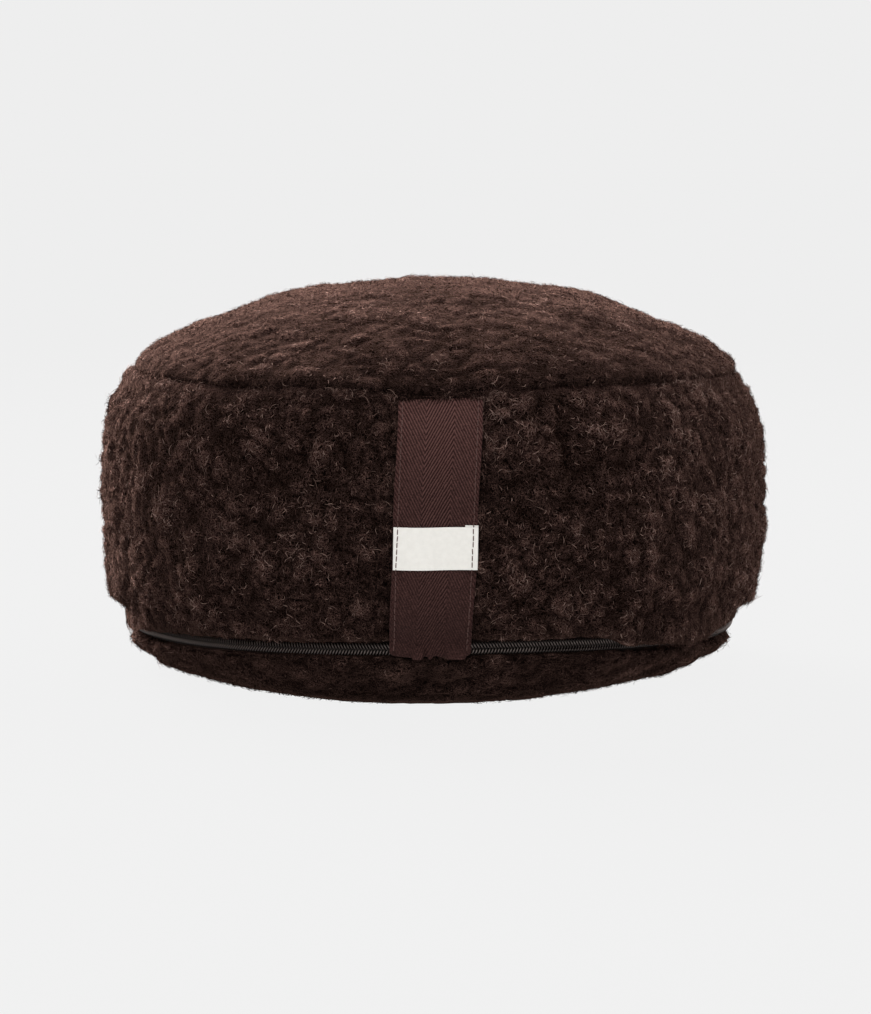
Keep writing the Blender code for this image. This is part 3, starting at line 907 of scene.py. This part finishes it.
HEAD_CORNERS = 0.8 * MM  # how far its upper corners are rounded down, and more so the left one
FRONT = np.array([0, -1.0, 0])


def open_grid(points):
    """Rows of points as a sheet facing forward: its points, its faces and its flat map."""
    rows, columns = points.shape[:2]
    row, column = (side.ravel() for side in np.indices((rows - 1, columns - 1)))
    corners = ((row, column), (row + 1, column), (row + 1, column + 1), (row, column + 1))
    faces = np.stack([r * columns + c for r, c in corners], axis=-1)
    across = np.stack([c for _, c in corners], axis=-1) / (columns - 1)
    along = 1 - np.stack([r for r, _ in corners], axis=-1) / (rows - 1)
    return points.reshape(-1, 3), faces, across, along


def smoothed(values, reach):
    """Rows evened out with their neighbours up and down, to this many rows away."""
    padded = np.pad(values, ((reach, reach), (0, 0)), mode="edge")
    return np.mean([padded[step : step + len(values)] for step in range(2 * reach + 1)], axis=0)


def in_front(shape, x, z):
    """How far forward the shape's front is, as y, at each of these places."""
    starts = np.stack([x, np.full_like(z, -0.3), z], axis=-1).reshape(-1, 3)
    return cast(shape, starts, np.broadcast_to(-FRONT, starts.shape))[:, 1].reshape(z.shape)


def calculated(tree, operation, first, second=0.0):
    """What a maths node makes of two inputs, each an output or a number."""
    node = tree.nodes.new("ShaderNodeMath")
    node.operation = operation
    for socket, value in zip(node.inputs, (first, second)):
        if isinstance(value, (int, float)):
            socket.default_value = value
        else:
            tree.links.new(value, socket)
    return node.outputs["Value"]


# The ribs' height goes from 0 to 0.5, and the yarn makes them uneven.
strap_cloth, tree, shader = new_finish("herringbone_tape")
across_strap, up_strap = map_parts(tree, "weave")
rib_column = STRAP_WIDTH / MM / RIB_COLUMNS
across_mm = calculated(tree, "MULTIPLY", across_strap, STRAP_WIDTH / MM)
from_column = calculated(tree, "SUBTRACT", across_mm, rib_column)
in_column = calculated(tree, "PINGPONG", from_column, rib_column)
across_ribs = calculated(tree, "DIVIDE", in_column, RIB_PITCH)
up_ribs = calculated(tree, "MULTIPLY", up_strap, STRAP_LENGTH / MM / RIB_RISE)
ribs = calculated(tree, "SUBTRACT", across_ribs, up_ribs)
yarn = fine_noise(tree, {"Scale": 1500})
ribs = calculated(tree, "ADD", ribs, calculated(tree, "MULTIPLY", yarn, 0.5))
rib_height = calculated(tree, "PINGPONG", ribs, 0.5)
# The ribs stand out most near the top and in the middle column.
off_middle = calculated(tree, "SUBTRACT", across_mm, 1.5 * rib_column)
off_middle = calculated(tree, "ABSOLUTE", off_middle)
in_middle = calculated(tree, "LESS_THAN", off_middle, rib_column / 2)
clearness = calculated(tree, "MULTIPLY", up_strap, RIB_CONTRAST_RISE)
clearness = calculated(tree, "ADD", clearness, RIB_CONTRAST)
clearness = calculated(tree, "MULTIPLY", clearness, calculated(tree, "ADD", in_middle, 1.0))
rib_tone = calculated(tree, "SUBTRACT", rib_height, 0.25)
rib_tone = calculated(tree, "MULTIPLY", rib_tone, clearness)
speck = calculated(tree, "MULTIPLY", calculated(tree, "SUBTRACT", yarn, 0.5), YARN_CONTRAST)
tone = calculated(tree, "ADD", calculated(tree, "ADD", rib_tone, speck), 0.25)
brown = coloured(tree, tone, STRAP_STEPS)
# Painted light: the tape is lighter towards its top, which faces up into the light, and darker towards its
# foot.
brown = darkened(tree, brown, up_strap, ((0.0, 0.76), (0.6, 0.94), (1.0, 1.4)))
finish_cloth(tree, shader, brown, 0.8, 0.04, (0.1, 0.35, STRAP_SHEEN), (rib_height, 0.8, 0.6 * MM))

half_strap = STRAP_WIDTH / 2
inside = np.linspace(1.2 * MM - half_strap, half_strap - 1.2 * MM, STRAP_COLUMNS)
across_strap = np.concatenate([EDGE_IN - half_strap, inside, half_strap - EDGE_IN[::-1]])
rolled_back = np.concatenate([EDGE_BACK, np.zeros(STRAP_COLUMNS), EDGE_BACK[::-1]])
from_middle = np.abs(across_strap / half_strap)
share = np.linspace(0, 1, STRAP_ROWS)[:, None]
# The lower end has round corners, and two nicks where the tape is gathered.
nicks = sum(np.exp(-(((across_strap - nick) / NICK_WIDTH) ** 2)) for nick in NICKS)
foot = strap_low + FOOT_RISE + CORNER_RISE * from_middle**10 + NICK_RISE * nicks
foot += FOOT_RIPPLE * np.sin(across_strap / (3.1 * MM))
head = strap_high + STRAP_TUCK - HEAD_CORNERS * from_middle**8 * (1.6 - np.sign(across_strap))
heights = head + (foot - head) * share
middles = strap_middle(heights) + STRAP_RIGHT + STRAP_WAVER * np.sin(heights / (9 * MM))
held_in = np.clip(across_strap, 0.6 * MM - half_strap, half_strap - 0.6 * MM)
strap_shape = surface_of(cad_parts["strap"].data)
depths = smoothed(in_front(strap_shape, middles + held_in, np.minimum(heights, strap_high - STRAP_BEND)), 3)
depths += np.maximum(0, heights - strap_high + STRAP_BEND)
edge_share = smooth_step(0.55, 0.95, from_middle)
ripple = np.sin(heights / (1.7 * MM) + 2 * np.sin(heights / (11 * MM)) + np.sign(across_strap))
depths += STRAP_PUCKER * edge_share * (1 + ripple) + rolled_back
depths += STRAP_WAVER * np.sin(heights / (14 * MM)) * (1 - edge_share)
depths += TURN_DEPTH * (np.maximum(0, share - TURN_UNDER) / (1 - TURN_UNDER)) ** 2
gathered = across_strap * (1 - STRAP_GATHER * smooth_step(0.6, 1, share))
points, faces, across, along = open_grid(np.stack([middles + gathered, depths, heights], axis=-1))
strap = add_piece("strap_sheet", points, faces, strap_cloth, "strap")
even_across = np.clip(across_strap / STRAP_WIDTH + 0.5, 0, 1)
even_across[:2], even_across[-2:] = (0.0, 0.002), (0.998, 1.0)
across = even_across[np.rint(across * (len(across_strap) - 1)).astype(int)]
lay_map(strap, across, along, ("weave", "OFBake"))
strap_front = surface_of(strap.data)

# ---- Label -------------------------------------------------------------------------------------
# A blank off-white woven label across the strap. Its two ends are folded under, and the rows of
# stitches that hold the strap hold it too.
LABEL_WIDTH = 37.4 * MM
LABEL_RIGHT = 0.9 * MM  # how far its middle lies right of the strap's
LABEL_LEAN = 0.4  # of the strap's lean
LABEL_TOP = 86.6 * MM
LABEL_FOOT = 67.4 * MM
LABEL_FOLD = 6 * MM
LABEL_ROWS = 14
LABEL_COLUMNS = 44
LABEL_OFF_STRAP = 0.5 * MM
FOLD_ROUND = 0.35 * MM
FOLD_PEEK = 0.8 * MM  # how far the right end's under layer shows above the label
FOLD_PLACES = np.array([1, 0.66, 0.33, 0.02])  # across a folded end, from its cut edge, in fold lengths
LABEL_YARNS = (("X", 0.35 * MM), ("Z", 0.45 * MM))

label_cloth, tree, shader = new_finish("woven_label")
place = tree.nodes.new("ShaderNodeTexCoord")
parts = tree.nodes.new("ShaderNodeSeparateXYZ")
tree.links.new(place.outputs["Object"], parts.inputs["Vector"])
threads = []
for axis, pitch in LABEL_YARNS:
    phase = calculated(tree, "MULTIPLY", parts.outputs[axis], 2 * math.pi / pitch)
    threads.append(calculated(tree, "SINE", phase))
yarn = fine_noise(tree, {"Scale": 500, "Detail": 3})
weave = calculated(tree, "ADD", calculated(tree, "MULTIPLY", *threads), yarn)
off_white = coloured(tree, yarn, ((0.3, (0.775, 0.755, 0.71)), (0.7, (0.82, 0.80, 0.755))))
finish_cloth(tree, shader, off_white, 0.9, 0.1, bumps=(weave, 0.25, 0.2 * MM))

turn = np.radians([50, 90, 130])
half_width = LABEL_WIDTH / 2
under, bend = LABEL_FOLD * FOLD_PLACES, FOLD_ROUND * np.sin(turn)
fold_across = np.concatenate([half_width - under, half_width + bend])
fold_back = np.concatenate([np.full(len(under), 2 * FOLD_ROUND), FOLD_ROUND * (1 + np.cos(turn))])
front = np.linspace(-half_width, half_width, LABEL_COLUMNS)
across_label = np.concatenate([-fold_across, front, fold_across[::-1]])
back = np.concatenate([fold_back, np.zeros(LABEL_COLUMNS), fold_back[::-1]])
right_fold = np.arange(len(across_label)) >= len(fold_across) + LABEL_COLUMNS
down = np.linspace(0, 1, LABEL_ROWS)[:, None]
heights = LABEL_TOP + (LABEL_FOOT - LABEL_TOP) * down + FOLD_PEEK * right_fold * (1 - down)
heights = heights + 0.12 * MM * np.sin(across_label / (5 * MM))
label_middle = strap_middle((LABEL_TOP + LABEL_FOOT) / 2)
middles = label_middle + LABEL_RIGHT + LABEL_LEAN * (strap_middle(heights) - label_middle)
within = np.clip(across_label, 1.5 * MM - half_strap, half_strap - 1.5 * MM)
ends = smooth_step(0.6, 0.9, np.abs(across_label) / half_width)
label_y = smoothed(in_front(strap_front, middles + within, heights), 3)
label_y += back - LABEL_OFF_STRAP - 2 * FOLD_ROUND * ends
points, faces, across, along = open_grid(np.stack([middles + across_label, label_y, heights], axis=-1))
label = add_piece("label_sheet", points, faces, label_cloth, "label")
lay_map(label, across, along)
label_front = surface_of(label.data)

# ---- Strap stitches ----------------------------------------------------------------------------
# Two rows of brown thread, one along each edge of the strap, which run on over the label's ends.
STITCH_PITCH = 3.0 * MM
STITCH_LENGTH = 2.7 * MM
STITCH_IN = 2.0 * MM  # from the strap's edge
THREAD_RADIUS = 0.24 * MM
THREAD_SIDES = 6
STITCH_SHARE = np.array([0, 0.12, 0.5, 0.88, 1])  # places along a stitch
STITCH_SWELL = np.array([0.4, 0.9, 1.0, 0.9, 0.4])  # how thick it is there, in thread radii
STITCH_PROUD = np.array([-0.7, 0.2, 0.45, 0.2, -0.7])  # how far its middle stands off the cloth
THREAD_PLIES = 2.0
THREAD_TURNS = 8.0  # along a stitch

thread_cloth, tree, shader = new_finish("brown_thread")
round_thread, along_stitch = map_parts(tree, "thread")
twist = calculated(tree, "MULTIPLY", along_stitch, THREAD_TURNS)
plies = calculated(tree, "ADD", calculated(tree, "MULTIPLY", round_thread, THREAD_PLIES), twist)
strands = calculated(tree, "PINGPONG", plies, 1.0)
brown = coloured(tree, strands, ((0.0, (0.045, 0.022, 0.019)), (1.0, (0.13, 0.069, 0.060))))
finish_cloth(tree, shader, brown, 0.6, 0.2, bumps=(strands, 0.5, 0.2 * MM))

draw = np.random.default_rng(5)
stitch_ends = ([], [])
for side in (-1, 1):
    stitch_heights = np.arange(strap_high - 2 * MM, strap_low + 2.5 * MM, -STITCH_PITCH)
    stitch_heights += draw.normal(0, 0.12 * MM, len(stitch_heights))
    for offset, found in zip((STITCH_LENGTH / 2, -STITCH_LENGTH / 2), stitch_ends):
        z = stitch_heights + offset
        gather = 1 - STRAP_GATHER * smooth_step(0.6, 1, (strap_high - z) / (strap_high - strap_low))
        x = strap_middle(z) + STRAP_RIGHT + side * (half_strap - STITCH_IN) * gather
        x += draw.normal(0, 0.08 * MM, len(z))
        for ray in np.stack([x, np.full_like(z, -0.3), z], axis=-1):
            hits = [shape.ray_cast(Vector(ray), Vector(-FRONT))[0] for shape in (strap_front, label_front)]
            found.append(min((hit for hit in hits if hit is not None), key=lambda hit: hit.y))
starts, ends = (np.array(found) for found in stitch_ends)
sideways = unit(np.cross(unit(ends - starts), FRONT))[:, None, None]
proud = FRONT * (STITCH_PROUD * THREAD_RADIUS)[:, None]
spine = starts[:, None] + (ends - starts)[:, None] * STITCH_SHARE[:, None] + proud
around = 2 * math.pi * np.arange(THREAD_SIDES) / THREAD_SIDES
ring = np.cos(around)[:, None] * sideways + np.sin(around)[:, None] * FRONT
points = spine[:, :, None] + ring * (STITCH_SWELL * THREAD_RADIUS)[:, None, None]


def tube_faces(rings, sides):
    """The faces of a tube, with the ring and the side that each corner lies on."""
    ring, side = (values.ravel() for values in np.indices((rings - 1, sides)))
    ring_at = np.stack([ring, ring, ring + 1, ring + 1], axis=-1)
    side_at = np.stack([side, side + 1, side + 1, side], axis=-1)
    return ring_at * sides + side_at % sides, ring_at, side_at


tube, ring_at, side_at = tube_faces(len(STITCH_SHARE), THREAD_SIDES)
first_points = np.arange(len(starts)) * len(STITCH_SHARE) * THREAD_SIDES
faces = (tube[None] + first_points[:, None, None]).reshape(-1, 4)
stitches = add_piece("strap_stitches", points.reshape(-1, 3), faces, thread_cloth, None)
across = np.tile(side_at / THREAD_SIDES, (len(starts), 1))
along = np.tile(STITCH_SHARE[ring_at], (len(starts), 1))
lay_map(stitches, across, along, ("thread", "OFBake"))

# ---- Zip tapes ---------------------------------------------------------------------------------
# Two woven tapes, sewn behind the edges of the side band and of the bottom panel. Only a narrow strip
# of each shows beside the coil, and the rest goes in behind the cloth.
TAPE_COLUMNS = 360
TAPE_RADIUS = 146.9 * MM
TAPE_AWAY = np.array([0.2, 1.8, 3.6, 4.9, 6.2]) * MM  # places across a tape, from the zip's middle line
TAPE_INWARD = np.array([0, 0, 0, 3.5, 7.0]) * MM  # and how far each lies inside the tape's radius
ZIP_RIGHT = -0.4 * MM
# How far the zip comes out, or sinks in under the cloth at its ends, from one angle to another.
ZIP_OUT_STEPS = ((35, 60, -1.2 * MM), (-35, -60, -1.2 * MM), (-68, -82, -2.5 * MM), (55, 66, 2.0 * MM))
ZIP_ROLL_STEPS = ((-4, -34, math.radians(40)),)  # how far it rolls over, left of the strap

tape_cloth, tree, shader = new_finish("zip_tape_cloth")
yarn = fine_noise(tree, {"Scale": 1400, "Detail": 2})
brown = coloured(tree, yarn, ((0.3, (0.004, 0.0023, 0.0019)), (0.7, (0.014, 0.0082, 0.0068))))
finish_cloth(tree, shader, brown, 0.85, 0.1, bumps=(yarn, 0.5, 0.3 * MM))


def beside_zip(angle, above, radius):
    """Points so far above the zip's middle line, at this distance from the cushion's middle."""
    roll = stepped(angle, ZIP_ROLL_STEPS)
    radius = radius + stepped(angle, ZIP_OUT_STEPS) - above * np.sin(roll)
    height = zip_seam(angle) + above * np.cos(roll)
    return np.stack([ZIP_RIGHT + radius * np.sin(angle), -radius * np.cos(angle), height], axis=-1)


angles = np.linspace(-ZIP_REACH, ZIP_REACH, TAPE_COLUMNS)
for side_name, side, panel in (("upper", 1, side_band), ("lower", -1, bottom_panel)):
    rows = [
        beside_zip(angles, side * away, TAPE_RADIUS - inward)
        for away, inward in zip(TAPE_AWAY, TAPE_INWARD)
    ]
    points, faces, across, along = open_grid(np.array(rows[::-side]))
    node = f"zip_tape_{side_name}"
    tape = add_piece(f"{node}_sheet", points, faces, tape_cloth, node)
    lay_map(tape, across, along)

# ---- Zip coils ---------------------------------------------------------------------------------
# Two spirals of brown nylon wire, one sewn to each tape. Closed, they lock into one chain of slanted
# loops, 6 mm wide.
COIL_PITCH = 1.45 * MM
COIL_STEPS = 10  # straight runs in each turn
WIRE_SIDES = 4
WIRE_RADIUS = 0.26 * MM
COIL_RADIUS = 148.4 * MM
COIL_DEPTH = 0.65 * MM  # half a loop's depth
COIL_LOOP = 1.3 * MM  # half a loop's width, across the zip
COIL_MIDDLE = 1.2 * MM
COIL_SLANTS = {"upper": -0.4, "lower": -0.22}  # of the pitch
LOOP_SQUARENESS = 0.7  # 1 is round

# Along each turn: a painted highlight where the wire comes out over the chain, and painted shade, nearly
# black, behind it.
WIRE_BROWN = (0.055, 0.0430, 0.0380)
WIRE_SHADE = (0.016, 0.0118, 0.0102)
WIRE_HIGHLIGHT = (0.17, 0.136, 0.123)
WIRE_BACK_SHADE = (0.003, 0.0020, 0.0018)
WIRE_STEPS = (
    (0.0, WIRE_BROWN),
    (0.09, WIRE_SHADE),
    (0.25, WIRE_HIGHLIGHT),
    (0.41, WIRE_SHADE),
    (0.5, WIRE_BROWN),
    (0.6, WIRE_BACK_SHADE),
)

coil_nylon, tree, shader = new_finish("zip_nylon")
round_turn, _ = map_parts(tree, "wire")
brown = coloured(tree, round_turn, WIRE_STEPS)
finish_cloth(tree, shader, brown, 0.35, 0.2)

turns_total = int(2 * ZIP_REACH * COIL_RADIUS / COIL_PITCH)
turn_share = np.arange(turns_total * COIL_STEPS + 1) / COIL_STEPS
loop = 2 * math.pi * turn_share
over = np.sign(np.cos(loop)) * np.abs(np.cos(loop)) ** LOOP_SQUARENESS
fore = np.sign(np.sin(loop)) * np.abs(np.sin(loop)) ** LOOP_SQUARENESS
wire, ring_at, side_at = tube_faces(len(loop), WIRE_SIDES)
around = 2 * math.pi * (np.arange(WIRE_SIDES) + 0.5) / WIRE_SIDES
for side_name, side in (("upper", 1), ("lower", -1)):
    turned_on = turn_share + COIL_SLANTS[side_name] * over + 0.5 * (side > 0)
    angle = -ZIP_REACH + turned_on * COIL_PITCH / COIL_RADIUS
    spine = beside_zip(angle, side * (COIL_MIDDLE + COIL_LOOP * over), COIL_RADIUS + COIL_DEPTH * fore)
    heading = unit(np.gradient(spine, axis=0))
    first = unit(np.cross(heading, np.array([0.3, 0.2, 0.93])))
    second = np.cross(first, heading)
    ring = np.cos(around)[:, None] * first[:, None] + np.sin(around)[:, None] * second[:, None]
    points = spine[:, None] + ring * WIRE_RADIUS
    node = f"zip_coil_{side_name}"
    coil = add_piece(f"{node}_wire", points.reshape(-1, 3), wire, coil_nylon, node)
    across = (ring_at[:, :1] % COIL_STEPS + ring_at - ring_at[:, :1]) / COIL_STEPS
    lay_map(coil, across, side_at / WIRE_SIDES, ("wire", "OFBake"))
